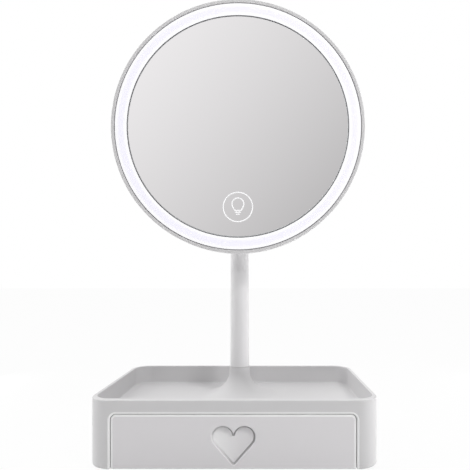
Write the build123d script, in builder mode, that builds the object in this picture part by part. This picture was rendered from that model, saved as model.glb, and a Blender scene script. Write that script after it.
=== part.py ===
from build123d import *

import os
from math import asin, atan2, cos, hypot, sin, sqrt

# A round lighted vanity mirror on a slim stem. The stem rises from a trumpet foot that is moulded
# into a shallow tray, and a drawer with a heart-shaped finger pull slides out from under the tray.
# The mirror head tips back about a hinge at the top of the stem.
# Millimetres. +Z is up, the mirror faces -Y, and the origin is on the table under the middle of the base.

# ---- Sizes -------------------------------------------------------------------------------------

# Base housing
base_width = 200.0
base_depth = 118.0
base_height = 47.0
base_corner = 15.0
side_wall = 2.5
front_wall = 5.6
tray_depth = 15.8
tray_floor = 2.2
tray_cove = 1.5
rim_round = 0.8
lip_round = 0.8
sole_round = 2.0
boss_inset = 8.0
boss_radius = 3.6
boss_rib = 1.4

# Bottom plate and feet
foot_height = 1.5
foot_radius = 6.0
foot_inset = 24.0
foot_seat = 0.6
foot_round = 0.5
plate_thickness = 2.0
plate_fit = 0.2
rail_thickness = 1.6
rail_height = 7.0
rail_margin = 6.0

# Drawer
panel_margin = 17.0
panel_thickness = 3.5
panel_corner = 3.7
panel_drop = 9.3
panel_gap = 0.45
panel_back_gap = 0.3
panel_inset = 0.2
panel_lift = 0.5
panel_round = 0.8
panel_heel = 1.0
tray_side_inset = 3.0
tray_length = 100.0
tray_corner = 6.0
tray_wall = 1.8
tray_round = 2.0
runner_inset = 18.0
runner_width = 2.4
runner_height = 0.6
slide_play = 0.4
drawer_play = 0.3
stop_overlap = 1.3
stop_play = 0.5
stop_length = 5.0
drawer_travel = 85.0
lintel_drop = 1.7

# Heart-shaped finger pull
heart_lobe = 7.5
heart_spread = 7.3
heart_point = 19.4
heart_tip = 1.7
heart_deep = 2.4
heart_shallow = 1.0
heart_rise = 3.1
heart_round = 0.6

# Trumpet foot and stem
stem_y = 18.0
stem_base_radius = 8.05
stem_top_radius = 7.25
stem_bore = 5.4
stem_plug = 16.0
stem_groove = 0.5
flare_step = 0.5
flare_reach = 27.0
flare_rise = 19.5
flare_neck = 4.4
flare_sink = 0.3
flare_blend = 20.0
flare_wall = 2.6
socket_depth = 6.0
spigot_radius = 6.0
web_thickness = 3.0

# Hinge
pivot_z = 251.6
hinge_reach = 12.0
eye_radius = 7.0
eye_width = 8.8
stem_drop = 11.6
collar_height = 1.4
knuckle_plug = 12.0
washer_radius = 6.0
washer_thickness = 0.5
side_play = 0.05
ear_thickness = 3.0
ear_root = 18.0
flange_width = 40.0
flange_height = 32.0
flange_corner = 6.0
flange_thickness = 2.5
flange_screw_x = 14.0
flange_screw_z = 10.0
bolt_radius = 2.0
bolt_head_radius = 3.8
bolt_head_height = 2.6
nut_radius = 4.0
nut_height = 3.2
bolt_end = 1.2

# Mirror head
head_radius = 100.8
head_depth = 14.0
head_wall = 2.0
ring_depth = 7.0
ring_face = 2.4
skirt_wall = 1.4
ring_lip = 1.6
ring_round = 1.4
seam_tongue = 1.2
cover_round = 5.0
pad_radius = 20.0
pad_depth = 4.0
light_gap = 0.7
diffuser_width = 9.3
diffuser_thickness = 1.7
diffuser_crown = 0.45
crown_setback = 0.1
diffuser_flange = 1.2
glass_gap = 0.5
glass_thickness = 3.0
glass_setback = 0.6
glass_bevel = 0.7
glass_play = 0.3
carrier_web = 1.4
carrier_rim = 1.2
carrier_shelf = 1.2
board_thickness = 1.2
led_board_width = 7.0
light_depth = 4.85
led_count = 40
led_size = 2.8
led_height = 0.8
cover_boss_inset = 7.9
cover_boss_count = 6
cover_boss_radius = 3.6
cover_boss_height = 2.0
touch_margin = 23.9
touch_radius = 7.0
board_width = 60.0
board_height = 26.0
board_post = 0.6
board_post_radius = 2.2
board_post_inset = 4.0
battery_width = 50.0
battery_height = 44.0
battery_thickness = 5.0
battery_gap = 4.0
socket_x = 24.0
socket_width = 9.0
socket_height = 3.2
socket_wall = 0.35
socket_recess = 0.5
socket_fit = 0.25

# Screws: shank radius, head radius and head height of each size
plate_screw = (1.5, 2.9, 1.4)
panel_screw = (1.25, 2.4, 1.3)
stem_screw_size = (2.0, 3.6, 2.6)
flange_screw = (1.5, 2.8, 1.8)
cover_screw = (1.3, 2.3, 1.5)
plate_screw_length = 14.0
panel_screw_grip = 2.2
stem_screw_grip = 11.0
flange_screw_grip = 5.0
cover_screw_grip = 5.0
screw_play = 0.05
running_play = 0.05
socket_play = 0.1
washer_height = 1.0
driver_share = 0.8
driver_width = 0.7
driver_depth = 0.9
quarter_turn = 90

# ---- Heights and places that follow from the sizes ----------------------------------------------

base_z = foot_height
rim_z = base_z + base_height
floor_z = rim_z - tray_depth
ceiling_z = floor_z - tray_floor
plate_top = base_z + plate_thickness

front_y = -base_depth / 2
well_width = base_width - 2 * side_wall
well_depth = base_depth - side_wall - front_wall
well_corner = base_corner - side_wall
well_y = (front_wall - side_wall) / 2
well_front = front_y + front_wall

boss_x = well_width / 2 - boss_inset
boss_y = well_depth / 2 - boss_inset
boss_spots = [(i * boss_x, well_y + j * boss_y) for i in (-1, 1) for j in (-1, 1)]
foot_x = base_width / 2 - foot_inset
foot_y = base_depth / 2 - foot_inset
foot_spots = [(i * foot_x, j * foot_y) for i in (-1, 1) for j in (-1, 1)]

panel_width = base_width - 2 * panel_margin
opening_width = panel_width + 2 * panel_gap
opening_top = rim_z - panel_drop
panel_top = opening_top - panel_gap
panel_bottom = base_z + panel_lift
panel_front = front_y + panel_inset
panel_back = panel_front + panel_thickness
lintel_z = ceiling_z - lintel_drop

drawer_width = panel_width - 2 * tray_side_inset
drawer_back = panel_back + tray_length
drawer_sole = plate_top + drawer_play
drawer_floor = drawer_sole + runner_height
drawer_top = lintel_z - stop_play
inside_width = drawer_width - 2 * tray_wall
inside_length = tray_length - 2 * tray_wall
inside_floor = drawer_floor + tray_wall
rail_x = drawer_width / 2 + slide_play
stop_front = well_front + drawer_travel + stop_play

flare_radius = stem_base_radius + flare_step
flare_centre = flare_radius + flare_reach
flare_foot = floor_z - flare_sink
flare_bend = flare_foot + flare_rise
flare_top = flare_bend + flare_neck
web_top = flare_top - socket_depth
web_bottom = web_top - web_thickness
stem_top = pivot_z - stem_drop
stem_axis = Axis((0, stem_y, 0), (0, 0, 1))

head_rear = stem_y - hinge_reach
head_front = head_rear - head_depth
head_axis = Axis((0, 0, pivot_z), (0, 1, 0))
seam_y = head_front + ring_depth
cover_inside = head_rear - head_wall
lip_back = head_front + ring_lip
ring_inner = head_radius - ring_face
skirt_inner = head_radius - skirt_wall
wall_inner = head_radius - head_wall
wall_middle = head_radius - head_wall / 2
diffuser_outer = ring_inner - light_gap
diffuser_inner = diffuser_outer - diffuser_width
glass_radius = diffuser_inner - glass_gap
diffuser_front = head_front + diffuser_crown
diffuser_back = diffuser_front + diffuser_thickness
glass_front = head_front + glass_setback
glass_back = glass_front + glass_thickness
carrier_back = glass_back + carrier_web
rim_inner = glass_radius + glass_play
cover_boss_circle = glass_radius - cover_boss_inset
rim_outer = rim_inner + carrier_rim
shelf_front = diffuser_back + light_depth + board_thickness
shelf_back = shelf_front + carrier_shelf
shelf_outer = rim_outer + led_board_width + 2 * glass_play
boss_seat = cover_inside - cover_boss_height
flange_back = head_rear + flange_thickness
ear_inner = eye_width / 2 + washer_thickness + 2 * side_play
ear_outer = ear_inner + ear_thickness
battery_z = pivot_z + pad_radius + battery_gap + battery_height / 2
board_front = carrier_back + board_post
board_back = board_front + board_thickness
board_z = pivot_z - glass_radius + touch_margin


# ---- Shared shapes -------------------------------------------------------------------------------


def head_plane(y, x=0.0, z=pivot_z):
    """Upright plane that faces the user, at depth y."""
    return Plane((x, y, z), x_dir=(1, 0, 0), z_dir=(0, -1, 0))


def disc(y_front, y_back, outer, inner=0.0, mode=Mode.ADD):
    """Flat disc or ring about the mirror's axis, between two depths."""
    with BuildSketch(head_plane(y_front)) as face:
        Circle(outer)
        if inner:
            Circle(inner, mode=Mode.SUBTRACT)
    extrude(face.sketch, amount=y_front - y_back, mode=mode)


def heart(plane):
    """Heart outline: two round lobes, straight sides that touch them, and a rounded tip."""
    cleft = sqrt(heart_lobe**2 - heart_spread**2)
    diagonal = heart_lobe / sqrt(2)
    shoulder = (heart_spread + diagonal, diagonal)
    tip = (0, -heart_point)
    centre_distance = hypot(heart_spread, heart_point)
    side_length = sqrt(centre_distance**2 - heart_lobe**2)
    side_angle = atan2(heart_point, heart_spread) - asin(heart_lobe / centre_distance)
    cheek = (side_length * cos(side_angle), side_length * sin(side_angle) - heart_point)
    with BuildSketch(plane) as outline:
        with BuildLine():
            ThreePointArc((0, cleft), shoulder, cheek)
            Line(cheek, tip)
            mirror(about=Plane.YZ)
        make_face()
        fillet(outline.vertices().sort_by(Axis.Y)[0], heart_tip)
    return outline.sketch


def driver_recess(top, flat):
    """Cross recess in the flat of a screw head."""
    reach = 2 * flat * driver_share
    with BuildSketch(Plane.XY.offset(top - driver_depth)) as cross:
        Rectangle(reach, driver_width)
        Rectangle(driver_width, reach)
    extrude(cross.sketch, amount=driver_depth, mode=Mode.SUBTRACT)


def pan_screw(size, length):
    """Screw with a domed head that stands on Z = 0, and its shank below."""
    shank, head, height = size
    with BuildPart() as screw:
        with BuildSketch():
            Circle(head)
        extrude(amount=height)
        fillet(screw.edges().group_by(Axis.Z)[-1], height / 2)
        with BuildSketch():
            Circle(shank)
        extrude(amount=-length)
        driver_recess(height, head - height / 2)
    return screw.part


def flush_screw(size, length):
    """Countersunk screw with its face at Z = 0 and its shank below."""
    shank, head, height = size
    with BuildPart() as screw:
        with BuildSketch(Plane.XZ):
            with BuildLine():
                Polyline((0, 0), (head, 0), (shank, -height), (shank, -length), (0, -length), close=True)
            make_face()
        revolve(axis=Axis.Z)
        driver_recess(0, head)
    return screw.part


# ---- Base ----------------------------------------------------------------------------------------

with BuildPart() as base_housing:
    with BuildSketch(Plane.XY.offset(base_z)):
        RectangleRounded(base_width, base_depth, base_corner)
    extrude(amount=base_height)
    fillet(base_housing.edges().group_by(Axis.Z)[0], sole_round)
    # The tray on top, with a coved floor and rounded rims
    with BuildSketch(Plane.XY.offset(floor_z)):
        with Locations((0, well_y)):
            RectangleRounded(well_width, well_depth, well_corner)
    extrude(amount=tray_depth, mode=Mode.SUBTRACT)
    fillet(base_housing.edges().filter_by_position(Axis.Z, floor_z, floor_z), tray_cove)
    fillet(base_housing.edges().group_by(Axis.Z)[-1], rim_round)
    # The bay under the tray
    with BuildSketch(Plane.XY.offset(base_z)):
        with Locations((0, well_y)):
            RectangleRounded(well_width, well_depth, well_corner)
    extrude(amount=ceiling_z - base_z, mode=Mode.SUBTRACT)
    # The drawer's opening: a shallow seat for the panel, and a way through below the lintel
    with BuildSketch(head_plane(front_y, z=0)) as opening:
        with Locations((0, opening_top)):
            Rectangle(opening_width, rim_z, align=(Align.CENTER, Align.MAX))
        fillet(opening.vertices().group_by(Axis.Y)[-1], panel_corner + panel_gap)
    extrude(amount=-(panel_inset + panel_thickness + panel_back_gap), mode=Mode.SUBTRACT)
    with BuildSketch(head_plane(front_y, z=0)):
        with Locations((0, lintel_z)):
            Rectangle(opening_width, rim_z, align=(Align.CENTER, Align.MAX))
    extrude(amount=-front_wall, mode=Mode.SUBTRACT)
    front_face = base_housing.faces().filter_by(Plane.XZ).sort_by(Axis.Y)[0]
    lip = front_face.edges().filter_by_position(Axis.X, -opening_width / 2, opening_width / 2)
    fillet(lip.filter_by_position(Axis.Z, base_z, opening_top), lip_round)
    # Screw bosses at the corners, tied to the walls by ribs
    with BuildSketch(Plane.XY.offset(plate_top)):
        with Locations(*boss_spots):
            Circle(boss_radius)
        for i in (-1, 1):
            for j in (-1, 1):
                with Locations((i * (boss_x + boss_inset / 2), well_y + j * boss_y)):
                    Rectangle(boss_inset + side_wall, boss_rib)
                with Locations((i * boss_x, well_y + j * (boss_y + boss_inset / 2))):
                    Rectangle(boss_rib, boss_inset + side_wall)
    extrude(amount=ceiling_z - plate_top)
    with BuildSketch(Plane.XY.offset(plate_top)):
        with Locations(*boss_spots):
            Circle(plate_screw[0] + screw_play)
    extrude(amount=plate_screw_length, mode=Mode.SUBTRACT)
    # The trumpet foot: a concave flare that is hollow below, with a web and a socket for the stem
    with BuildSketch(Plane.XZ.offset(-stem_y)):
        with BuildLine():
            Polyline((0, flare_foot), (0, flare_top), (flare_radius, flare_top), (flare_radius, flare_bend))
            EllipticalCenterArc(
                (flare_centre, flare_bend), flare_reach, flare_rise, 2 * quarter_turn, arc_size=quarter_turn
            )
            Line((flare_centre, flare_foot), (0, flare_foot))
        make_face()
    revolve(axis=stem_axis)
    floor_edges = base_housing.edges().filter_by_position(Axis.Z, floor_z, floor_z)
    fillet(floor_edges.filter_by(lambda edge: edge.is_closed), flare_blend)
    with BuildSketch(Plane.XZ.offset(-stem_y)):
        with Locations((0, ceiling_z)):
            Rectangle(flare_centre, web_bottom - ceiling_z, align=(Align.MIN, Align.MIN))
        with Locations((flare_centre, flare_bend)):
            Ellipse(flare_reach + flare_wall, flare_rise + flare_wall, mode=Mode.SUBTRACT)
    revolve(axis=stem_axis, mode=Mode.SUBTRACT)
    with BuildSketch(Plane.XY.offset(web_top)):
        with Locations((0, stem_y)):
            Circle(spigot_radius + socket_play)
    extrude(amount=socket_depth, mode=Mode.SUBTRACT)
    with BuildSketch(Plane.XY.offset(web_bottom)):
        with Locations((0, stem_y)):
            Circle(stem_screw_size[0] + socket_play)
    extrude(amount=web_thickness, mode=Mode.SUBTRACT)

with BuildPart() as bottom_plate:
    with BuildSketch(Plane.XY.offset(base_z)):
        with Locations((0, well_y)):
            RectangleRounded(well_width - 2 * plate_fit, well_depth - 2 * plate_fit, well_corner - plate_fit)
    extrude(amount=plate_thickness)
    # Two rails that guide the drawer
    with BuildSketch(Plane.XY.offset(plate_top)):
        for i in (-1, 1):
            with Locations((i * (rail_x + rail_thickness / 2), well_y)):
                Rectangle(rail_thickness, well_depth - 2 * rail_margin)
    extrude(amount=rail_height)
    # Seats for the feet, and countersunk screw holes
    with BuildSketch(Plane.XY.offset(base_z)):
        with Locations(*foot_spots):
            Circle(foot_radius + plate_fit)
    extrude(amount=foot_seat, mode=Mode.SUBTRACT)
    with Locations(*[Plane((x, y, base_z), z_dir=(0, 0, -1)) for x, y in boss_spots]):
        CounterSinkHole(plate_screw[0] + socket_play, plate_screw[1] + socket_play, depth=plate_thickness)

with BuildPart() as bottom_plate_screws:
    with Locations(*[Plane((x, y, base_z), z_dir=(0, 0, -1)) for x, y in boss_spots]):
        add(flush_screw(plate_screw, plate_screw_length))

with BuildPart() as rubber_feet:
    with BuildSketch(Plane.XY):
        with Locations(*foot_spots):
            Circle(foot_radius)
    extrude(amount=foot_height + foot_seat)
    fillet(rubber_feet.edges().group_by(Axis.Z)[0], foot_round)

# ---- Drawer --------------------------------------------------------------------------------------

heart_z = (panel_top + panel_bottom) / 2 + heart_rise
heart_high = heart_z + heart_lobe
heart_low = heart_z - heart_point
panel_screw_x = drawer_width / 4 + heart_lobe * 2
panel_screw_spots = [
    (i * panel_screw_x, drawer_floor + (drawer_top - drawer_floor) * share)
    for i in (-1, 1)
    for share in (1 / 4, 3 / 4)
]


def finger_pull():
    """Heart-shaped scoop, deepest under the lobes, where the fingertips hook in."""
    with BuildPart() as scoop:
        extrude(heart(head_plane(panel_front, z=heart_z)), amount=-panel_thickness)
        with BuildSketch(Plane.YZ):
            with BuildLine():
                Polyline(
                    (panel_front + heart_shallow, heart_low),
                    (panel_front - heart_deep, heart_low),
                    (panel_front - heart_deep, heart_high),
                    (panel_front + heart_deep, heart_high),
                    close=True,
                )
            make_face()
        extrude(amount=panel_width, both=True, mode=Mode.INTERSECT)
    return scoop.part


with BuildPart() as drawer_front:
    with BuildSketch(head_plane(panel_front, z=0)) as panel:
        with Locations((0, panel_bottom)):
            Rectangle(panel_width, panel_top - panel_bottom, align=(Align.CENTER, Align.MIN))
        fillet(panel.vertices().group_by(Axis.Y)[-1], panel_corner)
    extrude(amount=-panel_thickness)
    face_edges = drawer_front.faces().sort_by(Axis.Y)[0].edges()
    fillet(face_edges.sort_by(Axis.Z)[0], panel_heel)
    face_edges = drawer_front.faces().sort_by(Axis.Y)[0].edges()
    fillet(face_edges.sort_by(Axis.Z)[-1], panel_round)
    add(finger_pull(), mode=Mode.SUBTRACT)
    pull_rim = drawer_front.faces().sort_by(Axis.Y)[0].inner_wires().edges()
    fillet(pull_rim, heart_round)
    # Pilot holes for the screws that hold the drawer to its front
    with BuildSketch(head_plane(panel_back, z=0)):
        with Locations(*panel_screw_spots):
            Circle(panel_screw[0] + screw_play)
    extrude(amount=panel_screw_grip, mode=Mode.SUBTRACT)

with BuildPart() as drawer_tray:
    with BuildSketch(Plane.XY.offset(drawer_floor)):
        with Locations((0, (panel_back + drawer_back) / 2)):
            RectangleRounded(drawer_width, tray_length, tray_corner)
    extrude(amount=drawer_top - drawer_floor)
    with BuildSketch(Plane.XY.offset(inside_floor)):
        with Locations((0, (panel_back + drawer_back) / 2)):
            RectangleRounded(inside_width, inside_length, tray_corner - tray_wall)
    extrude(amount=drawer_top - drawer_floor, mode=Mode.SUBTRACT)
    fillet(drawer_tray.edges().filter_by_position(Axis.Z, inside_floor, inside_floor), tray_round)
    # Runners below, and a stop on each side wall that catches behind the lintel
    with BuildSketch(Plane.XY.offset(drawer_sole)):
        for i in (-1, 1):
            with Locations((i * (drawer_width / 2 - runner_inset), (panel_back + drawer_back) / 2)):
                Rectangle(runner_width, tray_length - 2 * tray_corner)
    extrude(amount=runner_height)
    with BuildSketch(Plane.XY.offset(drawer_top)):
        for i in (-1, 1):
            with Locations((i * (drawer_width - tray_wall) / 2, stop_front)):
                Rectangle(tray_wall, stop_length, align=(Align.CENTER, Align.MIN))
    extrude(amount=stop_play + stop_overlap)
    with BuildSketch(head_plane(panel_back, z=0)):
        with Locations(*panel_screw_spots):
            Circle(panel_screw[0] + socket_play)
    extrude(amount=-tray_wall, mode=Mode.SUBTRACT)

with BuildPart() as drawer_front_screws:
    with Locations(*[Plane((x, panel_back + tray_wall, z), z_dir=(0, 1, 0)) for x, z in panel_screw_spots]):
        add(pan_screw(panel_screw, tray_wall + panel_screw_grip - screw_play))

# ---- Stem ----------------------------------------------------------------------------------------

with BuildPart() as stem_tube:
    with BuildSketch(Plane.XZ.offset(-stem_y)):
        with BuildLine():
            Polyline(
                (0, web_top + socket_play),
                (spigot_radius, web_top + socket_play),
                (spigot_radius, flare_top),
                (stem_base_radius - stem_groove, flare_top),
                (stem_base_radius, flare_top + stem_groove),
                (stem_top_radius, stem_top),
                (stem_bore, stem_top),
                (stem_bore, web_top + stem_plug),
                (0, web_top + stem_plug),
                close=True,
            )
        make_face()
    revolve(axis=stem_axis)
    with BuildSketch(Plane.XY.offset(web_top)):
        with Locations((0, stem_y)):
            Circle(stem_screw_size[0] + screw_play)
    extrude(amount=stem_screw_grip + socket_play, mode=Mode.SUBTRACT)

with BuildPart() as stem_washer:
    with BuildSketch(Plane.XY.offset(web_bottom - washer_height)):
        with Locations((0, stem_y)):
            Circle(stem_screw_size[1] + washer_height)
            Circle(stem_screw_size[0] + socket_play, mode=Mode.SUBTRACT)
    extrude(amount=washer_height)

with BuildPart() as stem_screw:
    with Locations(Plane((0, stem_y, web_bottom - washer_height), z_dir=(0, 0, -1))):
        add(pan_screw(stem_screw_size, washer_height + web_thickness + stem_screw_grip))

with BuildPart() as stem_knuckle:
    with BuildSketch(Plane.XY.offset(stem_top - knuckle_plug)):
        with Locations((0, stem_y)):
            Circle(stem_bore - socket_play)
    extrude(amount=knuckle_plug)
    with BuildSketch(Plane.XY.offset(stem_top)):
        with Locations((0, stem_y)):
            Circle(stem_top_radius)
    extrude(amount=collar_height)
    fillet(stem_knuckle.edges().group_by(Axis.Z)[-1], collar_height / 2)
    # The eye, on a neck that hangs down to the collar
    with BuildSketch(Plane.YZ):
        with Locations((stem_y, pivot_z)):
            Circle(eye_radius)
        with Locations((stem_y, stem_top + collar_height / 2)):
            Rectangle(2 * stem_bore, pivot_z - stem_top, align=(Align.CENTER, Align.MIN))
    extrude(amount=eye_width / 2, both=True)
    with BuildSketch(Plane.YZ):
        with Locations((stem_y, pivot_z)):
            Circle(bolt_radius + running_play)
    extrude(amount=eye_width, both=True, mode=Mode.SUBTRACT)

# ---- Hinge ---------------------------------------------------------------------------------------

rear_plane = Plane((0, head_rear, pivot_z), x_dir=(-1, 0, 0), z_dir=(0, 1, 0))
flange_screw_spots = [(i * flange_screw_x, j * flange_screw_z) for i in (-1, 1) for j in (-1, 1)]

with BuildPart() as hinge_bracket:
    with BuildSketch(rear_plane):
        RectangleRounded(flange_width, flange_height, flange_corner)
    extrude(amount=flange_thickness)
    fillet(hinge_bracket.faces().sort_by(Axis.Y)[-1].edges(), flange_thickness / 3)
    # Two ears that taper from the flange to the pivot
    with BuildSketch(Plane.YZ):
        with BuildLine(mode=Mode.PRIVATE) as ear_outline:
            CenterArc((stem_y, pivot_z), eye_radius, 0, 360)
            Line((head_rear, pivot_z - ear_root / 2), (head_rear, pivot_z + ear_root / 2))
        make_hull(ear_outline.edges())
    extrude(amount=ear_outer, both=True)
    with BuildSketch(Plane.YZ):
        with Locations((flange_back, pivot_z)):
            Rectangle(2 * hinge_reach, flange_height, align=(Align.MIN, Align.CENTER))
    extrude(amount=ear_inner, both=True, mode=Mode.SUBTRACT)
    with BuildSketch(Plane.YZ):
        with Locations((stem_y, pivot_z)):
            Circle(bolt_radius + screw_play)
    extrude(amount=ear_outer, both=True, mode=Mode.SUBTRACT)
    with BuildSketch(rear_plane):
        with Locations(*flange_screw_spots):
            Circle(flange_screw[0] + socket_play)
    extrude(amount=flange_thickness, mode=Mode.SUBTRACT)

with BuildPart() as hinge_bracket_screws:
    with Locations(rear_plane.offset(flange_thickness)):
        with Locations(*flange_screw_spots):
            add(pan_screw(flange_screw, flange_thickness + flange_screw_grip))

bolt_size = (bolt_radius, bolt_head_radius, bolt_head_height)

with BuildPart() as hinge_bolt:
    with Locations(Plane((-ear_outer, stem_y, pivot_z), z_dir=(-1, 0, 0))):
        add(pan_screw(bolt_size, 2 * ear_outer + nut_height + bolt_end))

with BuildPart() as hinge_nut:
    with BuildSketch(Plane.YZ.offset(ear_outer)):
        with Locations((stem_y, pivot_z)):
            RegularPolygon(nut_radius, 6)
            Circle(bolt_radius + screw_play, mode=Mode.SUBTRACT)
    extrude(amount=nut_height)

with BuildPart() as hinge_washers:
    for side_x in (-ear_inner + side_play, ear_inner - side_play - washer_thickness):
        with BuildSketch(Plane.YZ.offset(side_x)):
            with Locations((stem_y, pivot_z)):
                Circle(washer_radius)
                Circle(bolt_radius + screw_play, mode=Mode.SUBTRACT)
        extrude(amount=washer_thickness)

# ---- Mirror head ---------------------------------------------------------------------------------


def cover_bosses():
    """Places of the rear cover's screws, round the mirror's axis."""
    return PolarLocations(cover_boss_circle, cover_boss_count)


with BuildPart() as rear_cover:
    # Dished shell with a rounded back edge and a tongue that enters the front ring
    with BuildSketch(Plane.XY.offset(pivot_z)):
        with BuildLine():
            Polyline(
                (0, head_rear),
                (0, cover_inside),
                (head_radius - cover_round, cover_inside),
            )
            RadiusArc(
                (head_radius - cover_round, cover_inside),
                (wall_inner, head_rear - cover_round),
                cover_round - head_wall,
            )
            Polyline(
                (wall_inner, head_rear - cover_round),
                (wall_inner, seam_y - seam_tongue + socket_play),
                (wall_middle - socket_play, seam_y - seam_tongue + socket_play),
                (wall_middle - socket_play, seam_y),
                (head_radius, seam_y),
                (head_radius, head_rear - cover_round),
            )
            RadiusArc(
                (head_radius, head_rear - cover_round),
                (head_radius - cover_round, head_rear),
                -cover_round,
            )
            Line((head_radius - cover_round, head_rear), (0, head_rear))
        make_face()
    revolve(axis=head_axis)
    # Pad behind the hinge, and bosses that meet the carrier
    disc(cover_inside - pad_depth, cover_inside, pad_radius)
    with BuildSketch(head_plane(boss_seat)):
        with cover_bosses():
            Circle(cover_boss_radius)
    extrude(amount=-cover_boss_height)
    with BuildSketch(head_plane(head_rear)):
        with cover_bosses():
            Circle(cover_screw[1] + plate_fit)
    extrude(amount=cover_screw[2] + plate_fit, mode=Mode.SUBTRACT)
    with BuildSketch(head_plane(boss_seat)):
        with cover_bosses():
            Circle(cover_screw[0] + socket_play)
    extrude(amount=-(cover_boss_height + head_wall), mode=Mode.SUBTRACT)
    with BuildSketch(head_plane(head_rear)):
        with Locations(*flange_screw_spots):
            Circle(flange_screw[0] + screw_play)
    extrude(amount=flange_screw_grip + screw_play, mode=Mode.SUBTRACT)
    # Window for the charging socket
    with BuildSketch(head_plane(head_rear, z=board_z)):
        with Locations((socket_x, 0)):
            SlotOverall(socket_width + 2 * socket_fit, socket_height + 2 * socket_fit)
    extrude(amount=head_wall, mode=Mode.SUBTRACT)

with BuildPart() as front_ring:
    # Bezel: a narrow face with a rounded edge, and a skirt that takes the diffuser and the cover's tongue
    with BuildSketch(Plane.XY.offset(pivot_z)):
        with BuildLine():
            Polyline(
                (head_radius, head_front + ring_round),
                (head_radius, seam_y),
                (wall_middle, seam_y),
                (wall_middle, seam_y - seam_tongue),
                (skirt_inner, seam_y - seam_tongue),
                (skirt_inner, lip_back),
                (ring_inner, lip_back),
                (ring_inner, head_front),
                (head_radius - ring_round, head_front),
            )
            RadiusArc(
                (head_radius - ring_round, head_front),
                (head_radius, head_front + ring_round),
                -ring_round,
            )
        make_face()
    revolve(axis=head_axis)

with BuildPart() as light_diffuser:
    # Frosted ring with a crowned face, set in by a shadow gap, and a flange behind the bezel's lip
    with BuildSketch(Plane.XY.offset(pivot_z)):
        with BuildLine():
            ThreePointArc(
                (diffuser_inner, diffuser_front),
                ((diffuser_inner + diffuser_outer) / 2, head_front + crown_setback),
                (diffuser_outer, diffuser_front),
            )
            Polyline(
                (diffuser_outer, diffuser_front),
                (diffuser_outer, lip_back),
                (skirt_inner - socket_play, lip_back),
                (skirt_inner - socket_play, lip_back + diffuser_flange),
                (diffuser_outer, lip_back + diffuser_flange),
                (diffuser_outer - diffuser_flange, diffuser_back),
                (diffuser_inner, diffuser_back),
                (diffuser_inner, diffuser_front),
            )
        make_face()
    revolve(axis=head_axis)

with BuildPart() as mirror_glass:
    disc(glass_front, glass_back, glass_radius)
    chamfer(mirror_glass.edges().group_by(Axis.Y)[0], glass_bevel)

with BuildPart() as glass_carrier:
    # Plate behind the glass, a rim round it that bears the diffuser, and a shelf for the lights
    disc(glass_back, carrier_back, rim_outer)
    disc(diffuser_back, shelf_back, rim_outer, rim_inner)
    disc(shelf_front, shelf_back, shelf_outer, rim_inner)
    with BuildSketch(head_plane(carrier_back)):
        with cover_bosses():
            Circle(cover_boss_radius)
    extrude(amount=carrier_back - boss_seat)
    with BuildSketch(head_plane(boss_seat)):
        with cover_bosses():
            Circle(cover_screw[0] + screw_play)
    extrude(amount=cover_screw_grip - cover_boss_height, mode=Mode.SUBTRACT)
    # Posts for the control board, and a hole for the touch pad
    with BuildSketch(head_plane(carrier_back, z=board_z)):
        with GridLocations(board_width - 2 * board_post_inset, board_height - 2 * board_post_inset, 2, 2):
            Circle(board_post_radius)
    extrude(amount=-board_post)
    with BuildSketch(head_plane(glass_back, z=board_z)):
        Circle(touch_radius + plate_fit)
    extrude(amount=-carrier_web, mode=Mode.SUBTRACT)

led_board_inner = rim_outer + glass_play

with BuildPart() as led_board:
    disc(shelf_front - board_thickness, shelf_front, led_board_inner + led_board_width, led_board_inner)

with BuildPart() as led_chips:
    with BuildSketch(head_plane(shelf_front - board_thickness)):
        with PolarLocations(led_board_inner + led_board_width / 2, led_count):
            Rectangle(led_size, led_size)
    extrude(amount=led_height)

with BuildPart() as control_board:
    with BuildSketch(head_plane(board_front, z=board_z)):
        RectangleRounded(board_width, board_height, board_post_radius)
    extrude(amount=-board_thickness)

with BuildPart() as touch_pad:
    with BuildSketch(head_plane(glass_back, z=board_z)):
        Circle(touch_radius)
    extrude(amount=glass_back - board_front)

with BuildPart() as battery:
    with BuildSketch(head_plane(carrier_back, z=battery_z)):
        RectangleRounded(battery_width, battery_height, battery_thickness / 2)
    extrude(amount=-battery_thickness)

with BuildPart() as charge_socket:
    # Open metal shell with the contact tongue in its middle
    with BuildSketch(head_plane(board_back, z=board_z)):
        with Locations((socket_x, 0)):
            SlotOverall(socket_width, socket_height)
    extrude(amount=board_back - head_rear + socket_recess)
    with BuildSketch(head_plane(board_back + socket_wall, z=board_z)):
        with Locations((socket_x, 0)):
            SlotOverall(socket_width - 2 * socket_wall, socket_height - 2 * socket_wall)
            Rectangle(socket_width * 2 / 3, socket_height / 5, mode=Mode.SUBTRACT)
    extrude(amount=board_back - head_rear, mode=Mode.SUBTRACT)

with BuildPart() as rear_cover_screws:
    screw_seat = head_rear - cover_screw[2] - plate_fit
    with Locations(Plane((0, screw_seat, pivot_z), x_dir=(-1, 0, 0), z_dir=(0, 1, 0))):
        with cover_bosses():
            add(pan_screw(cover_screw, cover_screw_grip - plate_fit))

# ---- Write the pieces ----------------------------------------------------------------------------

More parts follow.
